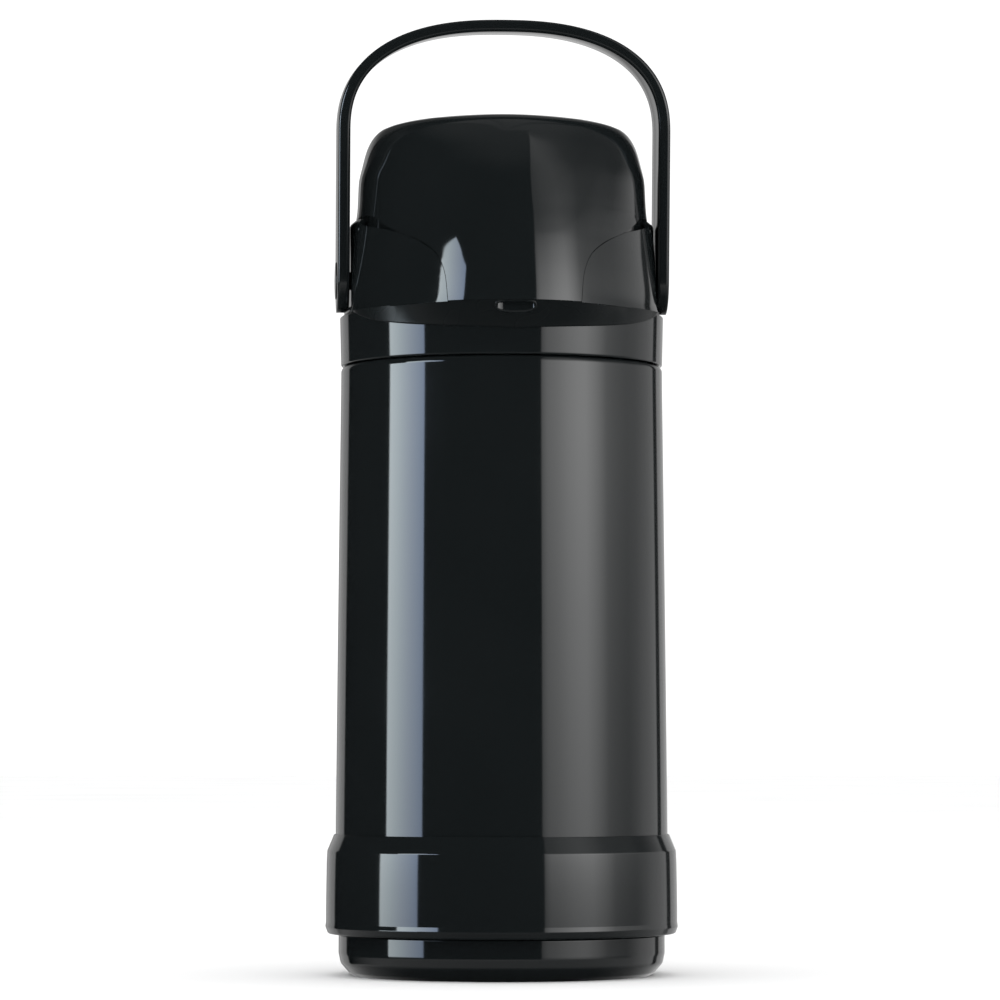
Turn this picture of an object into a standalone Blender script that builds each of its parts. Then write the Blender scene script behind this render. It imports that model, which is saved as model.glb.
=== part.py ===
"""Glass-lined press airpot with a folding carrying bail.

Lengths are in millimetres; the mesh helpers scale them to metres. +Z is up, the spout points to -Y,
and the origin is the centre of the foot, on the surface that the airpot stands on.
"""

import math

import bpy
import bmesh
from mathutils import Matrix, Vector

MM = 0.001
GAP = 0.3
WELD = 2e-6
SIDES = 36
INNER_SIDES = 20
SMALL_SIDES = 12

# Foot, base ring and outer body.
FOOT_R = 61.0
FOOT_TOP = 15.3
STAND_R = (53.4, 55.4)
LIP_Z = 15.6
BELLY_R = 65.7
BASE_RING_TOP = 52.2
BODY_R_BOTTOM = 62.35
BODY_R_TOP = 60.3
BODY_TOP = 227.4
BODY_WALL = 2.4

# Collar, with the spigot that the head screws onto.
COLLAR_R = 60.65
COLLAR_BOTTOM = 227.9
COLLAR_TOP = 246.3
SPIGOT_R = 50.0
SPIGOT_TOP = 251.5

# Vacuum glass refill.
GLASS_R = 52.5
GLASS_WALL = 1.6
LINER_R = 46.0
NECK_R = 26.0
MOUTH_R = 21.4
GLASS_TOP = 238.5
SHOULDER_BASE = 195.0
BOWL_TOP = 60.0

# Head: skirt below the shoulder line, domed cover above it.
HEAD_BOTTOM = 246.6
SHOULDER_Z = 279.3
SHELL = 2.4
NOSE_R = 45.0
NOSE_TURN = math.radians(15)
CHEEK_TURN = math.radians(40)
RECESS_X = 57.2
RECESS_FRONT = -15.0
CHIN_Z = 237.3
CHIN_SPREAD = math.radians(70)

# Bail: strap over the head, turning on one pin at each side.
PIVOT_Z = 260.0
BAIL_X = 62.3
BAIL_THICKNESS = 4.5
BAIL_WIDTH = 24.0
BAIL_SPRING_LINE = 315.6
BAIL_RISE = 42.4
BAIL_POWER = 2.45
BAIL_LEAN = math.radians(5.5)

# Press lever, piston and bellows.
LEVER_HALF = (31.0, 38.0)
LEVER_POWER = 3.5
LEVER_BOTTOM = 302.5
HINGE_Y = 31.0
HINGE_Z = 309.5
HINGE_PIN_R = 1.5
PISTON_R = 24.0
PISTON_Z = 292.6
STEM_R = 5.0
SEAT_Z = 262.0
SEAT_TOP = 264.5
SEAT_SCREW_R = 42.0
BELLOWS_R = (25.0, 31.0)
BELLOWS_FOLDS = 4

# Flow path.
TUBE_R = 4.0
TUBE_BORE = 2.8
TUBE_FOOT = 47.8
OUTLET_Z = 256.5
SPOUT_Y = -65.6
BALL_R = 3.0


# Materials.

BLACK = ("gloss_black", (0.011, 0.012, 0.013), 0.12, 0.0)
DARK = ("inner_black", (0.03, 0.03, 0.032), 0.45, 0.0)
WHITE = ("white_plastic", (0.78, 0.78, 0.75), 0.4, 0.0)
SILVER = ("silvered_glass", (0.75, 0.76, 0.77), 0.06, 1.0)
RUBBER = ("grey_rubber", (0.16, 0.16, 0.165), 0.75, 0.0)
SILICONE = ("clear_silicone", (0.72, 0.72, 0.70), 0.5, 0.0)
STEEL = ("spring_steel", (0.55, 0.56, 0.57), 0.28, 1.0)


def material(spec):
    name, color, roughness, metallic = spec
    found = bpy.data.materials.get(name)
    if found:
        return found
    made = bpy.data.materials.new(name)
    made.use_nodes = True
    shader = made.node_tree.nodes["Principled BSDF"]
    shader.inputs["Base Color"].default_value = (*color, 1.0)
    shader.inputs["Roughness"].default_value = roughness
    shader.inputs["Metallic"].default_value = metallic
    made.diffuse_color = (*color, 1.0)
    return made


# Mesh helpers.


def clear_scene():
    for obj in list(bpy.data.objects):
        bpy.data.objects.remove(obj)


def add_object(name, points, faces, spec, pivot=(0.0, 0.0, 0.0)):
    """A closed mesh with its origin at pivot; points, pivot in millimetres."""
    origin = Vector(pivot)
    mesh = bpy.data.meshes.new(name)
    mesh.from_pydata([(Vector(p) - origin) * MM for p in points], [], faces)
    shape = bmesh.new()
    shape.from_mesh(mesh)
    bmesh.ops.recalc_face_normals(shape, faces=shape.faces)
    bmesh.ops.triangulate(shape, faces=shape.faces)
    shape.to_mesh(mesh)
    shape.free()
    mesh.shade_smooth()
    mesh.set_sharp_from_angle(angle=math.radians(35))
    mesh.materials.append(material(spec))
    obj = bpy.data.objects.new(name, mesh)
    obj.location = origin * MM
    bpy.context.scene.collection.objects.link(obj)
    return obj


def revolve(name, profile, spec, sides=SIDES, center=(0.0, 0.0), pivot=(0.0, 0.0, 0.0)):
    """Solid of revolution about +Z of a closed (radius, z) outline; radius 0 makes a pole."""
    points = []
    rows = []
    for radius, z in profile:
        if radius < 1e-6:
            rows.append([len(points)] * sides)
            points.append((center[0], center[1], z))
            continue
        rows.append(list(range(len(points), len(points) + sides)))
        for step in range(sides):
            angle = 2 * math.pi * step / sides
            x = center[0] + radius * math.cos(angle)
            y = center[1] + radius * math.sin(angle)
            points.append((x, y, z))
    faces = []
    for upper, lower in zip(rows, rows[1:] + rows[:1]):
        for step in range(sides):
            after = (step + 1) % sides
            corners = [upper[step], upper[after], lower[after], lower[step]]
            face = list(dict.fromkeys(corners))
            if len(face) > 2:
                faces.append(face)
    return add_object(name, points, faces, spec, pivot)


def loft(name, rings, spec, closed=False, pivot=(0.0, 0.0, 0.0)):
    """Skin over rings with equal point counts; closed joins the last ring to the first."""
    count = len(rings[0])
    points = [p for ring in rings for p in ring]
    faces = []
    pairs = list(range(len(rings) - 1)) + ([len(rings) - 1] if closed else [])
    for row in pairs:
        below = (row % len(rings)) * count
        above = ((row + 1) % len(rings)) * count
        for step in range(count):
            after = (step + 1) % count
            faces.append([below + step, below + after, above + after, above + step])
    if not closed:
        faces.append(list(range(count)))
        faces.append(list(range((len(rings) - 1) * count, len(rings) * count)))
    return add_object(name, points, faces, spec, pivot)


def prism(name, outline, low, high, spec=BLACK, axis="Z"):
    """Outline of two coordinates extruded from low to high along an axis."""
    place = {
        "X": lambda a, b, t: (t, a, b),
        "Y": lambda a, b, t: (a, t, b),
        "Z": lambda a, b, t: (a, b, t),
    }[axis]
    rings = [[place(a, b, t) for a, b in outline] for t in (low, high)]
    return loft(name, rings, spec)


def rod(name, radius, low, high, center, axis, spec=BLACK, sides=SMALL_SIDES):
    return prism(name, circle(radius, sides, center), low, high, spec, axis)


def block(name, low, high, spec=BLACK):
    outline = [(low[0], low[1]), (high[0], low[1]), (high[0], high[1]), (low[0], high[1])]
    return prism(name, outline, low[2], high[2], spec)


def circle(radius, sides, center=(0.0, 0.0)):
    angles = [2 * math.pi * step / sides for step in range(sides)]
    return [(center[0] + radius * math.cos(a), center[1] + radius * math.sin(a)) for a in angles]


def superellipse(half_x, half_y, power, sides, center=(0.0, 0.0)):
    outline = []
    for step in range(sides):
        angle = 2 * math.pi * step / sides
        cosine, sine = math.cos(angle), math.sin(angle)
        x = half_x * math.copysign(abs(cosine) ** (2 / power), cosine)
        y = half_y * math.copysign(abs(sine) ** (2 / power), sine)
        outline.append((center[0] + x, center[1] + y))
    return outline


def arc(center_r, center_z, half_r, half_z, start, end, count):
    """Points of an ellipse arc in (radius, z); angles in degrees from +radius towards +z."""
    found = []
    for step in range(count):
        angle = math.radians(start + (end - start) * step / (count - 1))
        radius = center_r + half_r * math.cos(angle)
        found.append((radius, center_z + half_z * math.sin(angle)))
    return found


def pipe(name, path, outer, bore, spec, sides=SMALL_SIDES):
    """Open-ended tube along a path that lies in a plane of constant x."""
    rings = {outer: [], bore: []}
    for index, here in enumerate(path):
        before = Vector(path[max(index - 1, 0)])
        after = Vector(path[min(index + 1, len(path) - 1)])
        along = (after - before).normalized()
        side = Vector((1, 0, 0))
        up = along.cross(side)
        for radius, found in rings.items():
            ring = []
            for a, b in circle(radius, sides):
                ring.append(Vector(here) + side * a + up * b)
            found.append(ring)
    return loft(name, rings[outer] + rings[bore][::-1], spec, closed=True)


def combine(obj, other, operation):
    """Exact boolean with a helper, which is removed afterwards."""
    modifier = obj.modifiers.new(operation.lower(), "BOOLEAN")
    modifier.operation = operation
    modifier.solver = "EXACT"
    modifier.object = other
    graph = bpy.context.evaluated_depsgraph_get()
    mesh = bpy.data.meshes.new_from_object(obj.evaluated_get(graph))
    obj.modifiers.clear()
    obj.data = mesh
    bpy.data.objects.remove(other)
    shape = bmesh.new()
    shape.from_mesh(mesh)
    bmesh.ops.remove_doubles(shape, verts=shape.verts, dist=WELD)
    bmesh.ops.dissolve_degenerate(shape, edges=shape.edges, dist=WELD)
    bmesh.ops.triangulate(shape, faces=shape.faces)
    shape.to_mesh(mesh)
    shape.free()
    mesh.shade_smooth()
    mesh.set_sharp_from_angle(angle=math.radians(35))
    return obj


def cut(obj, other):
    return combine(obj, other, "DIFFERENCE")


def join(obj, other):
    return combine(obj, other, "UNION")


def keep(obj, other):
    return combine(obj, other, "INTERSECT")


# Foot, base ring and outer body.


def body_radius(z):
    """Outer radius of the tapered body at a height."""
    share = (z - LIP_Z) / (BODY_TOP - LIP_Z)
    return BODY_R_BOTTOM + (BODY_R_TOP - BODY_R_BOTTOM) * share ** 1.25


def make_outer_body():
    bottom = LIP_Z + GAP
    outer = [(body_radius(z), z) for z in (bottom, 80.0, 130.0, 178.0, 222.0)]
    edge = [(60.1, 224.6), (59.2, 226.6), (57.6, BODY_TOP), (53.9, BODY_TOP)]
    inner = [(53.9, 224.6), (57.2, 224.0)]
    inner += [(body_radius(z) - BODY_WALL, z) for z in (218.0, 130.0, 60.0, bottom)]
    revolve("outer_body", outer + edge + inner, BLACK)


def make_base_ring():
    sleeve = BODY_R_BOTTOM + GAP
    profile = [(sleeve, BASE_RING_TOP), (62.8, BASE_RING_TOP), (65.2, 46.6), (65.5, 38.0)]
    profile += [(BELLY_R, 25.0), (65.67, 19.6), (65.85, 18.0), (65.6, 16.4), (64.6, LIP_Z)]
    profile += [(sleeve, LIP_Z)]
    revolve("base_ring", profile, BLACK)


def make_foot():
    rim = [(FOOT_R, FOOT_TOP), (FOOT_R, 8.0), (60.6, 5.9), (58.9, 3.2), (57.0, 1.3)]
    stand = [(STAND_R[1], 0.0), (STAND_R[0], 0.0), (51.6, 3.6)]
    socket = [(26.3, 3.6), (26.3, 16.0), (28.8, 16.0), (28.8, 6.2)]
    spigot = [(56.8, 6.2), (56.8, 28.0), (59.3, 28.0), (59.3, FOOT_TOP)]
    revolve("foot_cup", rim + stand + socket + spigot, BLACK)
    plug = [(0.0, 18.0), (26.0, 18.0), (26.0, 3.9), (23.2, 3.9), (23.2, 15.4), (0.0, 15.4)]
    obj = revolve("foot_screw_plug", plug, DARK, INNER_SIDES)
    join(obj, block("grip", (-23.6, -2.0, 6.0), (23.6, 2.0, 16.4)))


# Vacuum glass, its pads, cushion and gasket.


def bowl_z(radius, half_r, depth):
    return BOWL_TOP - depth * math.sqrt(1 - (radius / half_r) ** 2)


def make_glass():
    depth_out = 31.0
    depth_in = 26.0
    inner = [(0.0, BOWL_TOP - depth_in)]
    inner += arc(0.0, BOWL_TOP, LINER_R, depth_in, -64, 0, 4)
    inner += arc(MOUTH_R, SHOULDER_BASE - 3, LINER_R - MOUTH_R, 30.0, 0, 90, 4)
    lip = [(MOUTH_R, 237.5), (22.4, GLASS_TOP), (25.0, GLASS_TOP), (NECK_R, 237.5)]
    outer = arc(NECK_R, SHOULDER_BASE, GLASS_R - NECK_R, 30.0, 90, 0, 4)
    outer += arc(0.0, BOWL_TOP, GLASS_R, depth_out, 0, -84, 5)
    pip = [(2.6, 27.6), (1.8, 22.5), (0.7, 22.5), (0.7, BOWL_TOP - depth_out + GLASS_WALL)]
    jacket = GLASS_R - GLASS_WALL
    between = arc(0.0, BOWL_TOP, jacket, depth_out - GLASS_WALL, -80, 0, 4)
    between += arc(NECK_R, SHOULDER_BASE, jacket - NECK_R, 28.4, 0, 80, 4)
    between += [(24.5, 225.0), (24.5, 235.6), (22.9, 235.6), (22.9, 225.0)]
    liner = LINER_R + GLASS_WALL
    between += arc(MOUTH_R + 1.5, SHOULDER_BASE - 3, liner - MOUTH_R - 1.5, 31.4, 80, 0, 4)
    between += arc(0.0, BOWL_TOP, liner, depth_in + GLASS_WALL, 0, -64, 4)
    between += [(0.0, BOWL_TOP - depth_in - GLASS_WALL)]
    revolve("glass_refill", inner + lip + outer + pip + between, SILVER, INNER_SIDES)


def make_spacers():
    """Pads that hold the two glass walls apart."""
    for index in range(3):
        obj = block(f"glass_spacer_{index + 1}", (47.95, -4.0, 76.0), (49.7, 4.0, 86.0), WHITE)
        obj.matrix_world = Matrix.Rotation(2 * math.pi * index / 3, 4, "Z")


def make_seals():
    dish = [(r, bowl_z(r, GLASS_R, 31.0) - 0.5) for r in (7.0, 14.0, 21.5)]
    revolve("glass_cushion", dish + [(21.5, 18.3), (7.0, 18.3)], RUBBER, INNER_SIDES)
    neck = [(22.6, 238.8), (26.4, 238.8), (26.4, 232.6), (30.3, 232.6), (30.3, 241.2)]
    revolve("neck_gasket", neck + [(22.6, 241.2)], SILICONE, INNER_SIDES)
    plug = [(19.9, 231.4), (21.1, 232.2), (21.1, 234.4), (19.9, 235.2)]
    revolve("plug_gasket", plug, SILICONE, INNER_SIDES)


# Collar.


def make_collar():
    spigot = [(SPIGOT_R, SPIGOT_TOP), (SPIGOT_R, COLLAR_TOP)]
    wall = [(60.0, COLLAR_TOP), (COLLAR_R, 245.6), (COLLAR_R, 228.6), (60.1, COLLAR_BOTTOM)]
    thread = [(53.4, COLLAR_BOTTOM), (53.4, 219.5), (51.0, 219.5), (51.0, 230.4)]
    under = [(58.1, 230.4), (58.1, 241.5), (33.0, 241.5), (33.0, 236.5), (30.8, 236.5)]
    mouth = [(30.8, 241.5), (24.5, 241.5), (24.5, 244.2), (47.0, 244.2), (47.0, SPIGOT_TOP)]
    revolve("collar", spigot + wall + thread + under + mouth, BLACK)


# Head shells.


SKIRT_LEVELS = (
    # height, front reach, half width, rear reach
    (HEAD_BOTTOM, 69.9, 62.2, 60.5),
    (250.5, 69.5, 61.2, 60.1),
    (263.0, 68.4, 60.2, 59.0),
    (272.0, 67.2, 59.4, 58.1),
    (SHOULDER_Z + 3.0, 65.4, 58.8, 57.4),
)
WIDEST_Y = 13.0


def egg_outline(front, half, rear, widest=WIDEST_Y):
    """Outline with a rounded nose, flat cheeks and an elliptical rear, as (x, y) points.

    The nose and cheek arcs are given; the cheek and flank radii are the two that bring the outline
    to its half width at the height of the widest point.
    """
    nose_sin, nose_cos = math.sin(NOSE_TURN), math.cos(NOSE_TURN)
    cheek_sin, cheek_cos = math.sin(CHEEK_TURN), math.cos(CHEEK_TURN)
    across = half - NOSE_R * nose_sin
    along = front + widest - NOSE_R * (1 - nose_cos)
    a, b = cheek_sin - nose_sin, 1 - cheek_sin
    c, d = nose_cos - cheek_cos, cheek_cos
    determinant = a * d - b * c
    cheek_r = (across * d - b * along) / determinant
    flank_r = (a * along - c * across) / determinant
    nose_end = (NOSE_R * nose_sin, NOSE_R * (1 - nose_cos))
    cheek_end = (nose_end[0] + cheek_r * a, nose_end[1] + cheek_r * c)
    right = []
    for degrees in (7, 14, 22, 30, 38, 46, 54, 62, 70, 80, 90):
        turn = math.radians(degrees)
        if turn < NOSE_TURN:
            x, drop = NOSE_R * math.sin(turn), NOSE_R * (1 - math.cos(turn))
        elif turn < CHEEK_TURN:
            x = nose_end[0] + cheek_r * (math.sin(turn) - nose_sin)
            drop = nose_end[1] + cheek_r * (nose_cos - math.cos(turn))
        else:
            x = cheek_end[0] + flank_r * (math.sin(turn) - cheek_sin)
            drop = cheek_end[1] + flank_r * (cheek_cos - math.cos(turn))
        right.append((x, drop - front))
    for degrees in (20, 40, 58, 74):
        turn = math.radians(degrees)
        right.append((half * math.cos(turn), widest + (rear - widest) * math.sin(turn)))
    left = [(-x, y) for x, y in reversed(right)]
    return [(0.0, -front)] + right + [(0.0, rear)] + left


def skirt_ring(level):
    z, front, half, rear = level
    return [(x, y, z) for x, y in egg_outline(front, half, rear)]


def skirt_inside(level):
    """The skirt's inner face, which stays clear of the flat recesses at the sides."""
    z, front, half, rear = level
    limit = RECESS_X - SHELL
    outline = egg_outline(front - SHELL, half - SHELL, rear - SHELL)
    return [(max(-limit, min(limit, x)), y, z) for x, y in outline]


def skirt_rim(z):
    """The opening at the top of the skirt, which the dome fills."""
    half = DOME_LEVELS[3][1] + GAP
    return [(x, y, z) for x, y in egg_outline(DOME_LEVELS[3][2] - 1.5, half, half, 0.0)]


DOME_LEVELS = (
    # height, half width, front reach, rear reach
    (246.9, 54.6, 69.5, 54.6),
    (262.0, 54.6, 69.2, 54.6),
    (272.0, 54.6, 67.6, 54.6),
    (279.6, 54.6, 65.3, 54.6),
    (288.0, 54.3, 62.3, 54.4),
    (297.0, 53.9, 58.6, 54.0),
    (303.0, 52.6, 55.4, 53.0),
    (309.0, 51.0, 51.6, 51.2),
    (313.0, 49.1, 48.0, 49.3),
    (316.3, 46.0, 44.0, 46.2),
    (318.4, 40.0, 38.0, 40.2),
    (320.1, 27.5, 26.2, 27.6),
    (320.9, 11.0, 10.5, 11.0),
)


def dome_rings(inset=0.0):
    """Oval outlines, rounder and shorter towards the top."""
    rings = []
    for z, half_x, front, rear in DOME_LEVELS:
        ring = []
        for step in range(SIDES):
            angle = 2 * math.pi * step / SIDES
            reach = rear if math.sin(angle) >= 0 else front
            x = (half_x - inset) * math.cos(angle)
            y = (reach - inset) * math.sin(angle)
            ring.append((x, y, z - inset))
        rings.append(ring)
    return rings


def dome_solid(name, inset=0.0):
    return loft(name, dome_rings(inset), BLACK)


NOTCH = ((45.0, 276.0), (48.5, 281.2), (52.0, 282.4), (62.0, 282.4), (62.0, 270.0))


def tongue_outline(offset=0.0):
    """Funnel outline in (x, z): the tongue over the spout, opening out to the shoulder line."""
    side = ((24.4, HEAD_BOTTOM + GAP), (25.2, 256.0), (28.5, 265.0), (34.0, 270.0))
    side += ((43.0, 275.2), (56.0, SHOULDER_Z), (75.0, SHOULDER_Z))
    right = [(x + offset, z - offset) for x, z in side]
    left = [(-x, z) for x, z in reversed(right)]
    return right + [(75.0, HEAD_BOTTOM + 90.0), (-75.0, HEAD_BOTTOM + 90.0)] + left


def cover_region(name, offset=0.0, lip=0.0):
    """Everything that belongs to the cover: the tongue in front, the dome above the shoulder."""
    region = prism(name, tongue_outline(offset), -90.0, -20.0, axis="Y")
    low = SHOULDER_Z - offset - lip
    return join(region, block("above", (-75.0, -21.0, low), (75.0, 90.0, 340.0)))


def make_head_cover():
    cover = dome_solid("head_cover")
    cut(cover, loft("inside", dome_rings(SHELL)[:-1], BLACK))
    keep(cover, cover_region("region", lip=2.0))
    for side in (-1, 1):
        notch = [(side * x, z) for x, z in NOTCH]
        cut(cover, prism("notch", notch, -60.0, -12.0, axis="Y"))
    cut(cover, prism("lever_well", lever_outline(0.8), 310.0, 330.0))
    for side in (-1, 1):
        low, high = sorted((side * 28.6, side * 32.4))
        join(cover, block("lug", (low, HINGE_Y - 3.0, 305.5), (high, HINGE_Y + 3.0, 315.0)))
    cut(cover, rod("pin_hole", HINGE_PIN_R + GAP, -33.0, 33.0, (HINGE_Y, HINGE_Z), "X"))


def make_head_base():
    outer = [skirt_ring(level) for level in SKIRT_LEVELS]
    rim = [skirt_rim(SHOULDER_Z + 3.0), skirt_rim(276.0)]
    inner = [skirt_inside(SKIRT_LEVELS[3]), skirt_inside(SKIRT_LEVELS[0])]
    base = loft("head_base", outer + rim + inner, BLACK, closed=True)
    cut(base, cover_region("region", GAP))
    shoulder = block("shoulder", (-75.0, -75.0, 276.9), (75.0, 75.0, 285.0))
    cut(base, keep(dome_solid("dome_room", -GAP), shoulder))
    join(base, make_base_floor())
    for side in (-1, 1):
        low, high = sorted((side * RECESS_X, side * 75.0))
        cut(base, block("recess", (low, RECESS_FRONT, 240.0), (high, 80.0, 290.0)))
        wall = sorted((side * 53.0, side * 57.0))
        join(base, rod("pad", 9.0, wall[0], wall[1], (0.0, PIVOT_Z), "X"))
        cut(base, rod("pin_hole", 3.7, side * 40.0, side * 70.0, (0.0, PIVOT_Z), "X"))
    cut(base, prism("spout_slot", spout_outline(GAP), 230.0, 250.0))
    cut(base, block("tube_slot", (-4.8, -58.0, 251.6), (4.8, -37.0, 263.0)))
    for x, y in screw_places():
        cut(base, rod("screw_hole", 1.6, 250.0, 270.0, (x, y), "Z"))


def make_base_floor():
    """Deck, thread ring and chin, cleared where the cover's tongue comes down."""
    low, high = HEAD_BOTTOM + 0.1, HEAD_BOTTOM + 2.4
    deck = [(50.4, low), (59.1, low), (59.1, high), (52.8, high)]
    ring = [(52.8, 261.7), (38.0, 261.7), (38.0, 259.5), (50.4, 259.5)]
    floor = revolve("base_floor", deck + ring, BLACK)
    join(floor, make_chin())
    join(floor, make_front_deck(low + 0.1, high - 0.1))
    room = cover_region("region", GAP)
    cut(room, loft("inside", dome_rings(SHELL + 0.5)[:-1], BLACK))
    return cut(floor, room)


def make_front_deck(low, high):
    """Floor of the beak, from the thread ring out to the skirt's wall."""
    outline = [(x, y) for x, y, _ in skirt_inside(SKIRT_LEVELS[0])]
    deck = prism("front_deck", outline, low, high)
    cut(deck, block("rear", (-70.0, -30.0, 240.0), (70.0, 70.0, 260.0)))
    return cut(deck, rod("collar_room", 51.6, 240.0, 260.0, (0.0, 0.0), "Z", sides=SIDES))


def make_chin():
    """Cove under the beak: a concave band from the collar's wall out to the beak's lower edge."""
    wall = COLLAR_R + GAP
    top = HEAD_BOTTOM + 0.8
    edge = egg_outline(69.9 - 1.3, 62.2 - 1.3, 60.5)
    steps = 24
    sections = []
    for step in range(steps + 1):
        angle = CHIN_SPREAD * (2 * step / steps - 1)
        low = min(chin_low(angle), HEAD_BOTTOM - 0.4)
        reach = max(radius_at(edge, angle), wall + 1.0)
        section = [(wall, top), (wall, low)]
        for share in (0.0, 0.12, 0.35, 0.65, 1.0):
            radius = wall + 0.3 + (reach - wall - 0.3) * share
            section.append((radius, low + (HEAD_BOTTOM + 0.1 - low) * share ** 0.55))
        section.append((reach, top))
        across, along = math.sin(angle), -math.cos(angle)
        sections.append([(r * across, r * along, z) for r, z in section])
    return loft("chin", sections, BLACK)


def chin_low(angle):
    """Height of the cove's lower edge, which rises towards the sides."""
    share = min(abs(angle) / CHIN_SPREAD, 1.0)
    return CHIN_Z + (HEAD_BOTTOM - CHIN_Z) * (0.35 * share + 0.65 * share ** 4)


def radius_at(outline, angle):
    """Distance from the axis to an outline, at an angle from the front."""
    target = abs(angle)
    bearings = [(math.atan2(x, -y), math.hypot(x, y)) for x, y in outline if x >= 0]
    for (before, first), (after, second) in zip(bearings, bearings[1:]):
        if before <= target <= after:
            share = (target - before) / (after - before)
            return first + (second - first) * share
    return bearings[-1][1]


# Spout, tubes, plug and valve.


def spout_outline(grow=0.0):
    return superellipse(7.6 + grow, 2.7 + grow, 2.6, SMALL_SIDES, (0.0, SPOUT_Y + 2.0))


def make_spout_nozzle():
    outer = [[(x, y, z) for x, y in spout_outline()] for z in (241.6, 249.3)]
    inner = superellipse(6.4, 1.7, 2.6, SMALL_SIDES, (0.0, SPOUT_Y + 2.0))
    top = circle(5.4, SMALL_SIDES, (0.0, -60.0))
    bore = circle(4.5, SMALL_SIDES, (0.0, -60.0))
    outer += [[(x, y, 250.4) for x, y in top], [(x, y, 251.6) for x, y in top]]
    inside = [[(x, y, 251.6) for x, y in bore], [(x, y, 250.4) for x, y in bore]]
    inside += [[(x, y, z) for x, y in inner] for z in (249.5, 241.6)]
    loft("spout_nozzle", outer + inside, DARK, closed=True)


def make_outlet_tube():
    bend = 4.6
    path = [(0.0, 0.0, 246.6), (0.0, 0.0, OUTLET_Z - bend)]
    for step in range(1, 4):
        angle = math.radians(30 * step)
        y = -bend + bend * math.cos(angle)
        path.append((0.0, y, OUTLET_Z - bend + bend * math.sin(angle)))
    path.append((0.0, -60.0 + bend, OUTLET_Z))
    for step in range(1, 3):
        angle = math.radians(30 * step)
        y = -60.0 + bend - bend * math.sin(angle)
        path.append((0.0, y, OUTLET_Z - bend + bend * math.cos(angle)))
    path += [(0.0, -60.0, 252.2), (0.0, -60.0, 250.9)]
    pipe("outlet_tube", path, TUBE_R, TUBE_BORE, WHITE)


def make_inner_plug():
    body = [(46.0, 251.9), (46.0, 253.9), (9.0, 253.9), (4.6, 253.9), (4.6, 228.6)]
    body += [(18.8, 228.6), (19.6, 230.6), (19.6, 238.0), (21.6, 245.0), (24.0, 251.9)]
    plug = revolve("inner_plug", body, WHITE, INNER_SIDES)
    cut(plug, block("tube_channel", (-4.6, -50.0, 252.0), (4.6, 2.0, 262.0)))
    for x in (-11.0, 11.0):
        cut(plug, rod("air_way", 2.0, 220.0, 260.0, (x, 4.0), "Z"))


def make_dip_tube():
    pipe("dip_tube", [(0, 0, TUBE_FOOT), (0, 0, 246.2)], TUBE_R, TUBE_BORE, WHITE)
    sleeve = TUBE_R + GAP
    outer = [(6.0, 54.0), (6.0, 38.0), (5.0, 36.0), (2.2, 36.0), (2.2, 38.0)]
    inner = [(3.9, 38.0), (3.9, 46.0), (sleeve, 47.0), (sleeve, 54.0)]
    cage = revolve("valve_cage", outer + inner, WHITE, SMALL_SIDES)
    cut(cage, block("cage_window", (-1.2, -10.0, 39.5), (1.2, 10.0, 44.5)))
    center = 38.0 + GAP + BALL_R
    ball = arc(0.0, center, BALL_R, BALL_R, 90, -90, 7)
    revolve("check_ball", ball, STEEL, SMALL_SIDES, pivot=(0.0, 0.0, center))


def screw_places():
    """Four seat screws on the diagonals."""
    reach = SEAT_SCREW_R * math.sqrt(0.5)
    return [(x * reach, y * reach) for x in (-1, 1) for y in (-1, 1)]


def make_bellows_seat():
    seat = rod("bellows_seat", 46.0, SEAT_Z, SEAT_TOP, (0.0, 0.0), "Z", WHITE, INNER_SIDES)
    cut(seat, rod("air_port", 3.0, 255.0, 270.0, (0.0, 16.0), "Z"))
    for x, y in screw_places():
        cut(seat, rod("screw_hole", 1.6, 255.0, 270.0, (x, y), "Z"))
    flap = [(0.0, 261.7), (5.5, 261.7), (5.5, 260.9), (0.0, 260.9)]
    revolve("air_valve_flap", flap, RUBBER, SMALL_SIDES, (0.0, 16.0))
    head = [(0.0, 266.6), (2.8, 266.6), (2.8, 264.8)]
    shank = [(1.3, 264.8), (1.3, 256.5), (0.0, 255.5)]
    for index, center in enumerate(screw_places()):
        revolve(f"seat_screw_{index + 1}", head + shank, STEEL, SMALL_SIDES, center)


# Pump.


def bellows_radius(share, inset):
    low, high = BELLOWS_R
    wave = 0.5 - 0.5 * math.cos(2 * math.pi * BELLOWS_FOLDS * share)
    return low + (high - low) * wave - inset


def make_bellows():
    low = SEAT_TOP + GAP
    high = PISTON_Z - GAP
    wall = 1.2
    steps = BELLOWS_FOLDS * 2
    heights = [low + 2.0 + (high - wall - low - 3.0) * step / steps for step in range(steps + 1)]
    outer = [(bellows_radius(step / steps, 0.0), z) for step, z in enumerate(heights)]
    inner = [(bellows_radius(step / steps, wall), z) for step, z in enumerate(heights)]
    profile = [(0.0, high), (BELLOWS_R[0], high)] + outer[::-1] + [(33.0, low + 1.6), (33.0, low)]
    profile += [(BELLOWS_R[0] - wall, low)] + inner + [(0.0, heights[-1])]
    revolve("bellows", profile, SILICONE, 16)


def make_piston():
    top = PISTON_Z + 2.4
    crown = HINGE_Z + 0.1 - GAP - STEM_R
    stem = [(0.0, crown + STEM_R)] + arc(0.0, crown, STEM_R, STEM_R, 67, 0, 4)
    plate = [(STEM_R, top + 2.0), (7.0, top), (PISTON_R, top), (PISTON_R, PISTON_Z), (0.0, PISTON_Z)]
    revolve("push_piston", stem + plate, WHITE, INNER_SIDES, pivot=(0.0, 0.0, PISTON_Z))


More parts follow.
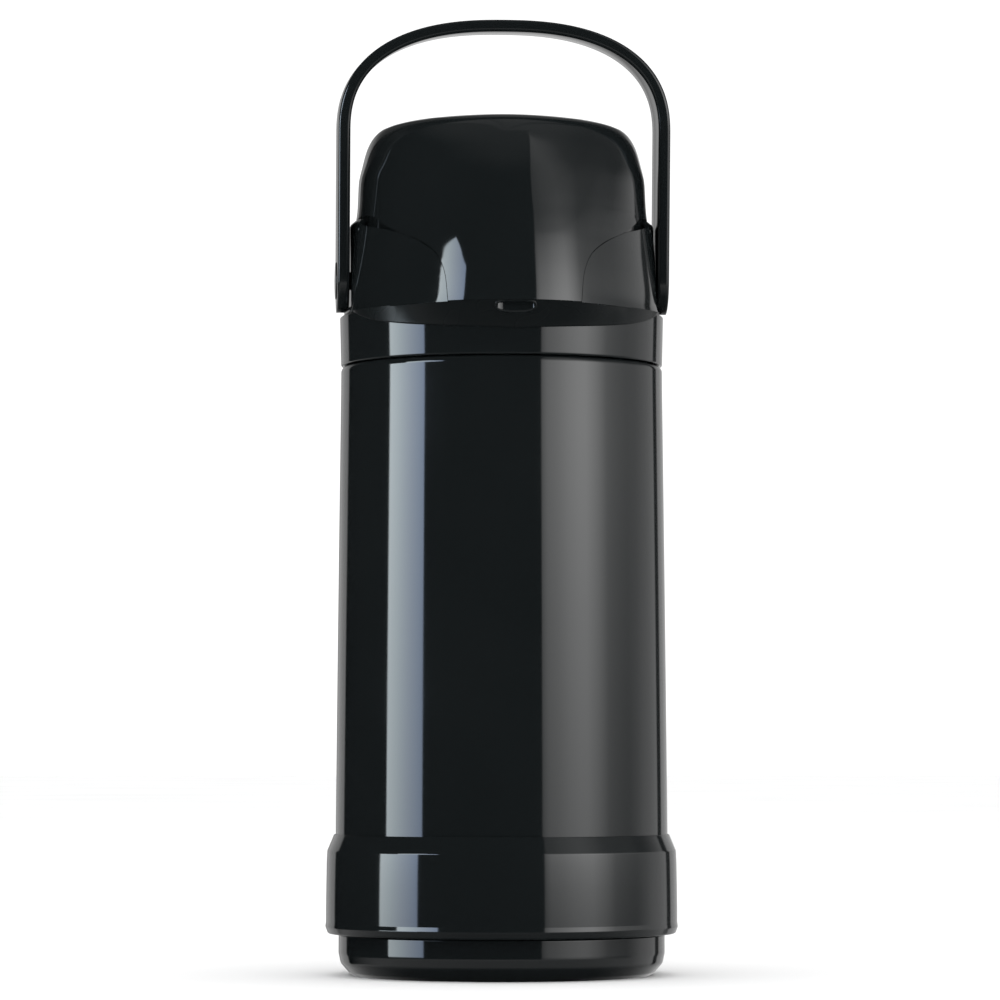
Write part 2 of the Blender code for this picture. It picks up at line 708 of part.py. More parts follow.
def make_spring():
    radius, wire, turns = 12.0, 0.8, 5
    low, high = SEAT_TOP + 1.2, PISTON_Z - 3.0
    steps = turns * 10
    rings = []
    for step in range(steps + 1):
        angle = 2 * math.pi * turns * step / steps
        outward = Vector((math.cos(angle), math.sin(angle), 0.0))
        z = low + wire + (high - low - 2 * wire) * step / steps
        center = outward * radius + Vector((0.0, 0.0, z))
        ring = [center + outward * a + Vector((0.0, 0.0, b)) for a, b in circle(wire, 4)]
        rings.append(ring)
    loft("return_spring", rings, STEEL)


def lever_outline(grow=0.0):
    return superellipse(LEVER_HALF[0] + grow, LEVER_HALF[1] + grow, LEVER_POWER, 28)


def make_lever():
    lever = dome_solid("press_lever")
    keep(lever, prism("plan", lever_outline(), LEVER_BOTTOM, 330.0))
    hollow = loft("hollow", dome_rings(2.2), BLACK)
    keep(hollow, prism("inner_plan", lever_outline(-2.0), LEVER_BOTTOM - 5.0, 330.0))
    cut(lever, hollow)
    join(lever, rod("boss", 7.0, HINGE_Z + 0.1, 319.4, (0.0, 0.0), "Z"))
    cut(lever, rod("pin_hole", HINGE_PIN_R + GAP, -40, 40, (HINGE_Y, HINGE_Z), "X"))
    place_origin(lever, (0.0, HINGE_Y, HINGE_Z))
    prism("lever_pin", circle(HINGE_PIN_R, SMALL_SIDES, (HINGE_Y, HINGE_Z)), -32.2, 32.2, STEEL, "X")


def place_origin(obj, pivot):
    """Moves the object's origin onto its joint without moving its shape."""
    shift = Vector(pivot) * MM - obj.matrix_world.translation
    obj.data.transform(Matrix.Translation(-shift))
    obj.location = Vector(pivot) * MM


# Bail.


def bail_curve(half, rise, count):
    """Half-superellipse from the right spring line over the top to the left one."""
    found = []
    for step in range(count + 1):
        angle = math.pi * step / count
        cosine, sine = math.cos(angle), math.sin(angle)
        x = half * math.copysign(abs(cosine) ** (2 / BAIL_POWER), cosine)
        z = BAIL_SPRING_LINE + rise * max(sine, 0.0) ** (2 / BAIL_POWER)
        found.append((x, z))
    return found


def make_bail():
    outer = bail_curve(BAIL_X, BAIL_RISE, 24)
    inner = bail_curve(BAIL_X - BAIL_THICKNESS, BAIL_RISE - BAIL_THICKNESS, 24)
    foot = PIVOT_Z
    right, left = [(BAIL_X, foot)], [(-BAIL_X, foot)]
    back_left = [(-BAIL_X + BAIL_THICKNESS, foot)]
    back_right = [(BAIL_X - BAIL_THICKNESS, foot)]
    outline = right + outer + left + back_left + inner[::-1] + back_right
    bail = prism("carry_bail", outline, -BAIL_WIDTH / 2, BAIL_WIDTH / 2, axis="Y")
    for side in (-1, 1):
        low, high = sorted((side * (BAIL_X - BAIL_THICKNESS), side * BAIL_X))
        join(bail, rod("eye", BAIL_WIDTH / 2, low, high, (0.0, PIVOT_Z), "X", sides=24))
        cut(bail, rod("eye_bore", 3.8, side * 50.0, side * 70.0, (0.0, PIVOT_Z), "X"))
        cut(bail, rod("head_seat", 7.6, side * 60.2, side * 70.0, (0.0, PIVOT_Z), "X"))
    place_origin(bail, (0.0, 0.0, PIVOT_Z))
    bail.rotation_euler = (BAIL_LEAN, 0.0, 0.0)


def make_pivot_pins():
    for name, side in (("pivot_pin_left", -1), ("pivot_pin_right", 1)):
        rings = []
        for x, radius in ((51.0, 3.4), (60.5, 3.4), (60.5, 7.2), (62.0, 7.2), (62.4, 6.7)):
            ring = [(side * x, y, z) for y, z in circle(radius, SMALL_SIDES, (0.0, PIVOT_Z))]
            rings.append(ring)
        loft(name, rings, BLACK)


def main():
    clear_scene()
    make_outer_body()
    make_base_ring()
    make_foot()
    make_glass()
    make_spacers()
    make_seals()
    make_collar()
    make_head_base()
    make_head_cover()
    make_spout_nozzle()
    make_outlet_tube()
    make_inner_plug()
    make_dip_tube()
    make_bellows_seat()
    make_bellows()
    make_piston()
    make_spring()
    make_lever()
    make_bail()
    make_pivot_pins()


main()
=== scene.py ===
"""Thermal coffee airpot: detailed shells, materials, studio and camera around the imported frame.

Lengths are in millimetres until they reach a mesh, a light or the camera, which are in metres.
"""

import math

import bmesh
import bpy
from mathutils import Matrix, Vector


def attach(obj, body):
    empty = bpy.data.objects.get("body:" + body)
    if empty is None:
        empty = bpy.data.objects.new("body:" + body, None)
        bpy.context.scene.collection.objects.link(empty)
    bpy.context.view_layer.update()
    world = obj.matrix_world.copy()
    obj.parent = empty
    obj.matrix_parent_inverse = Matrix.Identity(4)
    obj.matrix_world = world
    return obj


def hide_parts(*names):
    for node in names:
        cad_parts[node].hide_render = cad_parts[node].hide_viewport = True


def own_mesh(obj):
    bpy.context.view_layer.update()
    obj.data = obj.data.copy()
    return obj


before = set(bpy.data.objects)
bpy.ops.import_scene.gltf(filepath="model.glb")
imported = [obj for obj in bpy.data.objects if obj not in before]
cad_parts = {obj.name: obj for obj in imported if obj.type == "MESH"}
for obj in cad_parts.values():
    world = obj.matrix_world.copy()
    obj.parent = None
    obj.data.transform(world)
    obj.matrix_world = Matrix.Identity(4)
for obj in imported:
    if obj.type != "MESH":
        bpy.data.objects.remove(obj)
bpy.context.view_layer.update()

MM = 0.001
ROUND = 2 * math.pi
TURNED_SIDES = 144

# Foot, base ring, body and collar.
FOOT_R = 61.0
SLEEVE_R = 62.65
BASE_RING_TOP = 52.2
LIP_Z = 15.6
BODY_R_BOTTOM, BODY_R_TOP, BODY_TOP = 62.35, 60.3, 227.4
COLLAR_BOTTOM, COLLAR_TOP = 227.9, 246.3
SEAM_Z = COLLAR_BOTTOM - 0.12

# Head outlines by height: front reach, half width, rear reach, where it is widest, nose radius.
LOWER_LEVELS = (
    (246.6, 69.7, 62.5, 60.5, 13.0, 45.0),
    (250.5, 69.6, 61.4, 60.1, 13.0, 45.0),
    (258.0, 69.2, 60.8, 59.5, 13.0, 44.0),
    (264.0, 68.6, 60.2, 59.0, 13.0, 43.0),
)
SKIRT_LEVELS = LOWER_LEVELS + (
    (272.0, 67.3, 59.5, 58.1, 13.0, 42.0),
    (282.5, 64.8, 59.0, 57.4, 13.0, 40.0),
)
COVER_LEVELS = LOWER_LEVELS + (
    (271.0, 67.5, 59.5, 58.2, 12.5, 42.0),
    (276.5, 66.1, 58.1, 56.6, 9.0, 40.5),
    (282.8, 64.0, 54.9, 54.7, 1.0, 38.0),
    (288.0, 62.2, 54.3, 54.4, 0.0, 36.0),
    (297.0, 58.6, 53.9, 54.0, 0.0, 34.0),
    (303.0, 55.4, 52.6, 53.0, 0.0, 34.0),
    (309.0, 51.6, 51.0, 51.2, 0.0, 35.0),
    (313.0, 48.0, 49.1, 49.3, 0.0, 35.0),
    (316.3, 44.0, 46.0, 46.2, 0.0, 34.0),
    (318.4, 38.0, 40.0, 40.2, 0.0, 31.0),
    (320.1, 26.2, 27.5, 27.6, 0.0, 22.5),
    (320.9, 10.5, 11.0, 11.0, 0.0, 9.0),
)
NOSE_TURN, CHEEK_TURN = math.radians(15), math.radians(40)

# Half width of the tongue by height: the cover's edge, and the skirt's edge round it.
COVER_EDGE = ((246.9, 24.4), (256.0, 25.2), (261.0, 26.5), (265.0, 28.5), (270.0, 34.0),
              (275.4, 43.5), (279.0, 47.6), (281.6, 50.0), (282.4, 52.0), (282.8, 53.4))
SKIRT_EDGE = ((246.6, 24.5), (256.0, 25.3), (261.0, 26.6), (264.9, 28.65), (269.8, 34.2),
              (274.9, 43.4), (277.4, 50.0), (279.3, 53.6), (280.4, 55.0))
COVER_WALL, SKIRT_WALL, LEVER_WALL = 2.2, 1.9, 2.6
# The flat at each side for the bail's arms, and the most that the rim reaches sideways.
RECESS_X, RECESS_FRONT = 57.2, -15.0
RIM_MOST = 54.6

# Cove under the beak: its lower edge in front and at its ends, its top, and how far round it goes.
CHIN_LOW, CHIN_HIGH, CHIN_TOP, CHIN_SPREAD = 237.3, 246.5, 246.85, math.radians(69)
# Place and slope of the spout.
SPOUT_Y, SPOUT_SLOPE = -67.0, 1.1
# Half width and depth of the hole in the cove, just inside the spout's lip.
SPOUT_MOUTH = (7.0, 1.6)

# Bail and its pins.
PIVOT_Z, BAIL_X, BAIL_THICKNESS, BAIL_WIDTH = 260.0, 62.3, 4.5, 24.0
SPRING_LINE, BAIL_RISE, BAIL_POWER, BAIL_LEAN = 315.6, 42.4, 2.45, math.radians(5.5)
STRAP_SIDES = 24

# Press lever and pump.
LEVER_HALF, LEVER_POWER, LEVER_GAP = (31.0, 38.0), 3.5, 0.45
SEAT_TOP, PISTON_Z, SPRING_FOOT = 264.5, 292.6, 265.7


# Shader helpers.


class Nodes:
    """Short forms for wiring one node tree."""

    def __init__(self, tree):
        self.tree = tree

    def add(self, kind, **settings):
        node = self.tree.nodes.new(kind)
        for key, value in settings.items():
            setattr(node, key, value)
        return node

    def feed(self, node, *values):
        """Sets or links a node's inputs in order, and gives its first output."""
        for slot, value in enumerate(values):
            if isinstance(value, bpy.types.NodeSocket):
                self.tree.links.new(value, node.inputs[slot])
            elif value is not None:
                node.inputs[slot].default_value = value
        return node.outputs[0]

    def math(self, operation, *values):
        return self.feed(self.add("ShaderNodeMath", operation=operation), *values)

    def ramp(self, value, stops, low, high):
        """Linear ramp through (position, colour or grey) stops, from low to high."""
        node = self.add("ShaderNodeValToRGB")
        items = node.color_ramp.elements
        while len(items) < len(stops):
            items.new(0.5)
        for item, (position, shade) in zip(items, stops):
            item.position = (position - low) / (high - low)
            item.color = (*shade, 1.0) if isinstance(shade, tuple) else (shade, shade, shade, 1.0)
        return self.feed(node, self.between(value, low, high, "LINEAR"))

    def between(self, value, low, high, kind="SMOOTHSTEP"):
        """Share of the way from low to high, kept within 0 and 1."""
        node = self.add("ShaderNodeMapRange", interpolation_type=kind)
        return self.feed(node, value, low, high, 0.0, 1.0)

    def noise(self, scale, detail, stretch):
        place = self.add("ShaderNodeTexCoord").outputs["Object"]
        mapped = self.add("ShaderNodeMapping")
        self.tree.links.new(place, mapped.inputs["Vector"])
        mapped.inputs["Scale"].default_value = stretch
        node = self.add("ShaderNodeTexNoise")
        self.tree.links.new(mapped.outputs[0], node.inputs["Vector"])
        node.inputs["Scale"].default_value = scale
        node.inputs["Detail"].default_value = detail
        return node.outputs[0]


def finish(name, dark, light, rough, grain, bump, metallic=0.0, stretch=(1.0, 1.0, 1.0), ior=1.5):
    """Moulded or drawn surface: colour and roughness drift with one noise, the bump with another.

    rough is a range, grain the scales of the two noises, and bump a strength and a depth in metres.
    """
    made = bpy.data.materials.new(name)
    made.use_nodes = True
    kit = Nodes(made.node_tree)
    shader = made.node_tree.nodes["Principled BSDF"]
    links = made.node_tree.links
    cloud = kit.noise(grain[0], 3.0, stretch)
    links.new(kit.ramp(cloud, ((0.3, dark), (0.7, light)), 0.0, 1.0), shader.inputs["Base Color"])
    gloss = kit.feed(kit.add("ShaderNodeMapRange"), cloud, 0.3, 0.7, *rough)
    links.new(gloss, shader.inputs["Roughness"])
    shader.inputs["Metallic"].default_value = metallic
    shader.inputs["IOR"].default_value = ior
    relief = kit.add("ShaderNodeBump")
    relief.inputs["Strength"].default_value = bump[0]
    relief.inputs["Distance"].default_value = bump[1]
    links.new(kit.noise(grain[1], 2.0, stretch), relief.inputs["Height"])
    links.new(relief.outputs[0], shader.inputs["Normal"])
    return made


MATERIALS = {
    "gloss_black": finish("gloss_black_moulded", (0.0066, 0.0083, 0.0088),
                          (0.0076, 0.0094, 0.0100), (0.045, 0.075), (18.0, 140.0),
                          (0.035, 0.00004)),
    # Satin copy of the body's black for the cove under the beak. Its darker colour and lower IOR
    # are painted shade under the beak.
    "satin_black_painted_shade": finish("underside_black_painted_shade", (0.0060, 0.0076, 0.0080),
                          (0.0070, 0.0087, 0.0092), (0.24, 0.30), (18.0, 900.0),
                          (0.06, 0.00004), ior=1.27),
    "inner_black": finish("inner_black_satin", (0.024, 0.024, 0.026), (0.034, 0.034, 0.036),
                          (0.38, 0.5), (60.0, 1800.0), (0.25, 0.0001)),
    "white_plastic": finish("white_food_plastic", (0.55, 0.546, 0.52), (0.61, 0.606, 0.58),
                            (0.33, 0.45), (40.0, 1500.0), (0.15, 0.0001)),
    "silvered_glass": finish("silvered_vacuum_glass", (0.70, 0.71, 0.72), (0.80, 0.81, 0.82),
                             (0.03, 0.09), (12.0, 90.0), (0.08, 0.0003), metallic=1.0),
    "grey_rubber": finish("grey_seal_rubber", (0.13, 0.13, 0.135), (0.18, 0.18, 0.186),
                          (0.65, 0.8), (80.0, 2400.0), (0.4, 0.0001)),
    "clear_silicone": finish("milky_silicone", (0.66, 0.66, 0.63), (0.76, 0.76, 0.74),
                             (0.42, 0.58), (50.0, 1600.0), (0.2, 0.0001)),
    "spring_steel": finish("drawn_spring_steel", (0.48, 0.49, 0.50), (0.60, 0.61, 0.62),
                           (0.2, 0.34), (90.0, 2600.0), (0.2, 0.0001), metallic=1.0,
                           stretch=(1.0, 1.0, 8.0)),
}


# Mesh helpers.


def piece(name, points, faces, slot, body, stands_for=()):
    """A smooth-shaded mesh from points in millimetres, riding on a body."""
    mesh = bpy.data.meshes.new(name)
    mesh.from_pydata([Vector(p) * MM for p in points], [], faces)
    mesh.materials.append(MATERIALS[slot])
    obj = bpy.data.objects.new(name, mesh)
    bpy.context.scene.collection.objects.link(obj)
    net = bmesh.new()
    net.from_mesh(mesh)
    bmesh.ops.remove_doubles(net, verts=net.verts, dist=2e-6)
    bmesh.ops.dissolve_degenerate(net, edges=net.edges, dist=1e-6)
    bmesh.ops.recalc_face_normals(net, faces=net.faces)
    net.to_mesh(mesh)
    net.free()
    mesh.shade_smooth()
    if stands_for:
        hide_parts(*stands_for)
    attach(obj, body)
    return obj


def grid_faces(rows, columns, closed=False, start=0):
    """Faces between neighbouring rows of points."""
    faces = []
    for row in range(rows - 1):
        for column in range(columns if closed else columns - 1):
            after = (column + 1) % columns
            low, high = start + row * columns, start + (row + 1) * columns
            faces.append((low + column, low + after, high + after, high + column))
    return faces


def closing_faces(rows, columns):
    """Faces that join the last of some closed rows back to the first."""
    last = (rows - 1) * columns
    return [(last + column, last + (column + 1) % columns, (column + 1) % columns, column)
            for column in range(columns)]


def end_faces(rows, columns):
    """Flat faces over the first and the last of some closed rows."""
    return [tuple(range(columns))[::-1], tuple(range((rows - 1) * columns, rows * columns))]


def rounded(corners, closed=True):
    """Outline with its corners rounded: (r, z, radius) in, (r, z) out.

    A support point beside each rounding keeps the flats flat.
    """
    found = []
    count = len(corners)
    for index, (r, z, radius) in enumerate(corners):
        ends = not closed and index in (0, count - 1)
        if radius <= 0 or ends:
            found.append((r, z))
            continue
        here = Vector((r, z))
        back = Vector(corners[index - 1][:2]) - here
        ahead = Vector(corners[(index + 1) % count][:2]) - here
        half_angle = back.angle(ahead) / 2
        reach = min(radius / math.tan(half_angle), 0.46 * back.length, 0.46 * ahead.length)
        radius = reach * math.tan(half_angle)
        back, ahead = back.normalized(), ahead.normalized()
        center = here + (back + ahead).normalized() * (radius / math.sin(half_angle))
        first, last = here + back * reach - center, here + ahead * reach - center
        turn = first.angle_signed(last)
        margin = min(0.25, 0.3 * reach)
        steps = max(3, math.ceil(abs(turn) / math.radians(12)))
        found.append(tuple(here + back * (reach + margin)))
        for step in range(steps + 1):
            arm = first.copy()
            arm.rotate(Matrix.Rotation(-turn * step / steps, 2))
            found.append(tuple(center + arm))
        found.append(tuple(here + ahead * (reach + margin)))
    return found


def turned(name, corners, slot, body, stands_for=()):
    """Turned piece from a closed outline of (r, z, corner radius)."""
    outline = rounded(corners)
    points = []
    for r, z in outline:
        for side in range(TURNED_SIDES):
            angle = ROUND * side / TURNED_SIDES
            points.append((r * math.cos(angle), r * math.sin(angle), z))
    faces = grid_faces(len(outline), TURNED_SIDES, closed=True)
    faces += closing_faces(len(outline), TURNED_SIDES)
    return piece(name, points, faces, slot, body, stands_for)


def curve_through(table, position):
    """Monotone cubic through rows of (position, value, value...), so reflections show no kinks."""
    if position <= table[0][0]:
        return table[0][1:]
    if position >= table[-1][0]:
        return table[-1][1:]
    index = max(i for i in range(len(table) - 1) if table[i][0] <= position)
    width = table[index + 1][0] - table[index][0]
    share = (position - table[index][0]) / width
    found = []
    for column in range(1, len(table[0])):
        slopes = []
        for at in (index, index + 1):
            before = slope_of(table, at - 1, column)
            after = slope_of(table, at, column)
            if before is None or after is None:
                slopes.append(after if before is None else before)
            elif before * after <= 0:
                slopes.append(0.0)
            else:
                slopes.append(2 * before * after / (before + after))
        low, high = table[index][column], table[index + 1][column]
        s2, s3 = share * share, share ** 3
        found.append(low * (2 * s3 - 3 * s2 + 1) + high * (3 * s2 - 2 * s3)
                     + width * (slopes[0] * (s3 - 2 * s2 + share) + slopes[1] * (s3 - s2)))
    return tuple(found)


def slope_of(table, index, column):
    """Slope of one column between a row and the next, or None outside the table."""
    if index < 0 or index > len(table) - 2:
        return None
    rise = table[index + 1][column] - table[index][column]
    return rise / (table[index + 1][0] - table[index][0])


def solve(function, target, low, high):
    """Where a rising function reaches a target."""
    for _ in range(40):
        middle = (low + high) / 2
        if function(middle) < target:
            low = middle
        else:
            high = middle
    return (low + high) / 2


def superellipse(half_x, half_y, power, angle):
    """Point on a rounded box outline, an ellipse at power 2."""
    cosine, sine = math.cos(angle), math.sin(angle)
    x = half_x * math.copysign(abs(cosine) ** (2 / power), cosine)
    y = half_y * math.copysign(abs(sine) ** (2 / power), sine)
    return x, y


def spread(low, high, count):
    """Evenly spaced values over that many steps, with both ends."""
    return [low + (high - low) * step / count for step in range(count + 1)]


def thicken(obj, thickness, bevel):
    """Gives a sheet its wall, inwards, and rounds its edges."""
    wall = obj.modifiers.new("wall", "SOLIDIFY")
    wall.thickness = thickness * MM
    wall.offset = -1.0
    edge = obj.modifiers.new("edge", "BEVEL")
    edge.width = bevel * MM
    edge.segments = 3
    edge.limit_method = "ANGLE"
    edge.angle_limit = math.radians(50)
    edge.harden_normals = True


# Foot, base ring, body and collar.


def body_radius(z):
    """Radius of the tapered outer body."""
    share = (z - LIP_Z) / (BODY_TOP - LIP_Z)
    return BODY_R_BOTTOM + (BODY_R_TOP - BODY_R_BOTTOM) * share ** 1.25


def make_vessel():
    """Outer body, base ring, foot and collar, each turned from (r, z, corner radius) outlines."""
    bottom = LIP_Z + 0.3
    wall = [(body_radius(z), z, 0.0) for z in (bottom, 40.0, 60.0, 80.0, 105.0, 130.0, 155.0,
                                               178.0, 200.0, 218.0)]
    top = [(60.36, SEAM_Z, 2.2), (53.9, SEAM_Z, 0.5), (53.9, 224.0, 0.0), (57.4, 223.6, 0.0)]
    inside = [(body_radius(z) - 2.4, z, 0.0) for z in (218.0, 120.0, bottom)]
    turned("outer_body_shell", wall + top + inside, "gloss_black", "vessel", ["outer_body"])
    ring = [(SLEEVE_R - 0.15, BASE_RING_TOP + 0.3, 0.25), (62.75, BASE_RING_TOP + 0.2, 0.6),
            (65.25, 46.4, 1.6), (65.45, 42.0, 0.0), (65.6, 34.0, 0.0), (65.7, 25.0, 0.0),
            (65.7, 19.9, 0.5), (65.95, 18.2, 0.8), (65.0, LIP_Z, 0.9),
            (SLEEVE_R - 0.15, LIP_Z, 0.0)]
    turned("base_ring_shell", ring, "gloss_black", "vessel", ["base_ring"])
    foot = [(FOOT_R, 15.3, 0.5), (FOOT_R, 8.4, 5.0), (60.2, 4.6, 3.0), (57.4, 1.3, 2.0),
            (55.4, 0.0, 0.5), (53.4, 0.0, 0.7), (51.6, 3.6, 1.0), (26.3, 3.6, 0.4),
            (26.3, 16.0, 0.0), (28.8, 16.0, 0.0), (28.8, 6.2, 0.0), (56.8, 6.2, 0.0),
            (56.8, 28.0, 0.0), (59.3, 28.0, 0.0), (59.3, 15.3, 0.0)]
    turned("foot_cup_shell", foot, "gloss_black", "vessel", ["foot_cup"])
    collar = [(50.0, 251.5, 0.6), (50.0, 246.6, 0.2), (50.7, COLLAR_TOP, 0.2),
              (60.85, COLLAR_TOP, 0.5), (60.4, COLLAR_BOTTOM, 0.7), (53.4, COLLAR_BOTTOM, 0.0),
              (53.4, 219.5, 0.0), (51.0, 219.5, 0.0), (51.0, 230.4, 0.0), (58.1, 230.4, 0.0),
              (58.1, 241.5, 0.0), (33.0, 241.5, 0.0), (33.0, 236.5, 0.0), (30.8, 236.5, 0.0),
              (30.8, 241.5, 0.0), (24.5, 241.5, 0.4), (24.5, 244.2, 0.6), (47.0, 244.2, 1.0),
              (47.0, 251.5, 0.6)]
    turned("collar_shell", collar, "gloss_black", "vessel", ["collar"])


# Head.


def egg(shape, turn):
    """Point on a head outline: turn runs from 0 at the nose to pi at the rear."""
    front, half, rear, widest, nose_r = shape
    side = math.copysign(1.0, turn)
    turn = abs(turn)
    if turn > math.pi / 2:
        angle = turn - math.pi / 2
        return side * half * math.cos(angle), widest + (rear - widest) * math.sin(angle)
    nose_sin, nose_cos = math.sin(NOSE_TURN), math.cos(NOSE_TURN)
    cheek_sin, cheek_cos = math.sin(CHEEK_TURN), math.cos(CHEEK_TURN)
    across = half - nose_r * nose_sin
    along = front + widest - nose_r * (1 - nose_cos)
    a, b, c, d = cheek_sin - nose_sin, 1 - cheek_sin, nose_cos - cheek_cos, cheek_cos
    cheek_r = (across * d - b * along) / (a * d - b * c)
    flank_r = (a * along - c * across) / (a * d - b * c)
    x, drop, last = 0.0, 0.0, 0.0
    for radius, until in ((nose_r, NOSE_TURN), (cheek_r, CHEEK_TURN), (flank_r, math.pi / 2)):
        stop = min(turn, until)
        x += radius * (math.sin(stop) - math.sin(last))
        drop += radius * (math.cos(last) - math.cos(stop))
        last = stop
        if turn <= until:
            break
    return side * x, drop - front


def turn_at_x(shape, x):
    """Where the front half of an outline reaches that far sideways."""
    return solve(lambda turn: egg(shape, turn)[0], x, 0.0, math.pi / 2)


def turn_at_y(shape, y):
    """Where the front half of an outline reaches that far back."""
    return solve(lambda turn: egg(shape, turn)[1], y, 0.0, math.pi / 2)


def bearing(shape, turn):
    """Angle from the front at which that point is seen from the axis."""
    px, py = egg(shape, turn)
    return math.atan2(px, -py)


def edge_reach(shape, angle):
    """Distance from the axis to an outline, at an angle from the front."""
    turn = solve(lambda t: bearing(shape, t), abs(angle), 0.0, math.pi)
    return math.hypot(*egg(shape, turn))


def dome_height(x, y):
    """Height of the cover's top at a place inside its upper outlines."""
    angle = math.atan2(abs(x), -y)

    def outside(z):
        return math.hypot(x, y) - edge_reach(curve_through(COVER_LEVELS, z), angle)

    return solve(outside, 0.0, 300.0, COVER_LEVELS[-1][0])


def dome_cap_height(x, y):
    """As dome_height, with a crown over the last outline."""
    rim = curve_through(COVER_LEVELS, COVER_LEVELS[-1][0])
    share = math.hypot(x, y) / rim[1]
    if share >= 1.0:
        return dome_height(x, y)
    return COVER_LEVELS[-1][0] + 0.15 * (1 - share * share)


# Heights of the rows of the tongue, and of the dome above it.
COVER_ROWS = (246.9, 247.4, 248.6, 250.5, 253.0, 256.0, 258.5, 261.0, 263.0, 265.0, 266.6, 268.0,
              269.2, 270.2, 271.2, 272.2, 273.2, 274.2, 275.2, 276.2, 277.2, 278.2, 279.2, 280.2,
              281.0, 281.7, 282.3, 282.8)
DOME_ROWS = (283.2, 284.4, 286.0, 288.0, 290.5, 293.0, 295.5, 298.0, 300.5, 303.0, 305.4, 307.6,
             309.6, 311.4, 313.0, 314.4, 315.6, 316.4)


def make_head_cover():
    """Tongue over the spout and dome above the shoulder, in one sheet with a well for the lever."""
    half_columns, rear_columns = 44, 50
    points = []
    for z in COVER_ROWS:
        shape = curve_through(COVER_LEVELS, z)
        edge = turn_at_x(shape, curve_through(COVER_EDGE, z)[0])
        for column in range(-half_columns, half_columns + 1):
            points.append((*egg(shape, edge * column / half_columns), z))
    faces = grid_faces(len(COVER_ROWS), 2 * half_columns + 1)
    shape = curve_through(COVER_LEVELS, COVER_ROWS[-1])
    edge = turn_at_x(shape, curve_through(COVER_EDGE, COVER_ROWS[-1])[0])
    turns = [edge * column / half_columns for column in range(-half_columns, half_columns + 1)]
    behind = [edge + (math.pi - edge) * step / (rear_columns + 1)
              for step in range(1, rear_columns + 1)]
    turns += behind + [math.pi] + [-turn for turn in reversed(behind)]
    start = len(points)
    for z in (COVER_ROWS[-1],) + DOME_ROWS:
        shape = curve_through(COVER_LEVELS, z)
        points += [(*egg(shape, turn), z) for turn in turns]
    ring = [egg(shape, turn) for turn in turns]
    inward = (0.2, 0.4, 0.6, 0.8, 0.95, 1.0)
    for share in inward:
        for x, y in ring:
            wx, wy = well_point(x, y, LEVER_GAP)
            px, py = x + (wx - x) * share, y + (wy - y) * share
            points.append((px, py, dome_height(px, py)))
    rows = 1 + len(DOME_ROWS) + len(inward)
    faces += grid_faces(rows, len(turns), closed=True, start=start)
    cover = piece("head_cover_shell", points, faces, "gloss_black", "head", ["head_cover"])
    thicken(cover, COVER_WALL, 0.2)


def well_point(x, y, grow):
    """Where the ray from the axis through a place meets the lever's outline."""
    half_x, half_y = LEVER_HALF[0] + grow, LEVER_HALF[1] + grow
    scale = (abs(x / half_x) ** LEVER_POWER + abs(y / half_y) ** LEVER_POWER) ** (-1 / LEVER_POWER)
    return x * scale, y * scale


def make_press_lever():
    """Palm plate in the top of the cover."""
    sides = 96
    points = [(0.0, 0.0, dome_cap_height(0.0, 0.0))]
    shares = (0.12, 0.25, 0.38, 0.5, 0.62, 0.74, 0.84, 0.92, 0.97, 1.0)
    for share in shares:
        for side in range(sides):
            angle = ROUND * side / sides
            x, y = well_point(math.cos(angle), math.sin(angle), 0.0)
            points.append((x * share, y * share, dome_cap_height(x * share, y * share)))
    faces = [(0, 1 + side, 1 + (side + 1) % sides) for side in range(sides)]
    faces += grid_faces(len(shares), sides, closed=True, start=1)
    lever = piece("press_lever_plate", points, faces, "gloss_black", "lever", ["press_lever"])
    thicken(lever, LEVER_WALL, 0.3)


# Heights of the skirt's rows, and the ledge above them as (how far inwards, height).
SKIRT_ROWS = (246.6, 247.2, 248.6, 250.5, 253.0, 256.0, 258.5, 261.0, 263.0, 265.0, 266.8, 268.4,
              269.8, 271.0, 272.2, 273.4, 274.6, 275.6, 276.6, 277.6, 278.6, 279.4, 280.0, 280.4)
LEDGE = ((0.15, 280.75), (0.6, 281.2), (1.6, 282.05), (2.5, 282.8), (3.2, 283.3))


def skirt_side(shape, edge_x):
    """Right half of one row of the skirt, from the tongue's seam round to the rear."""
    first = turn_at_x(shape, edge_x)
    corner = turn_at_y(shape, RECESS_FRONT)
    first = min(first, corner - 0.01)
    row = [egg(shape, turn) for turn in spread(first, corner, 26)]
    outer = row.pop()[0]
    inner = min(outer, RECESS_X)
    edge = outer - inner
    soft = min(0.5, edge * 0.4)
    row += [(outer - 0.02 * edge, RECESS_FRONT - 0.3), (outer - soft * 0.5, RECESS_FRONT)]
    row += [(inner + soft * 0.5, RECESS_FRONT + 0.05), (inner, RECESS_FRONT + 0.3)]
    for y in (-13.0, -9.0, -4.0, 2.0, 8.0):
        row.append((min(egg(shape, turn_at_y(shape, y))[0], RECESS_X), y))
    for angle in spread(math.pi / 2, math.pi, 30):
        x, y = egg(shape, angle)
        row.append((min(x, RECESS_X), y))
    return row


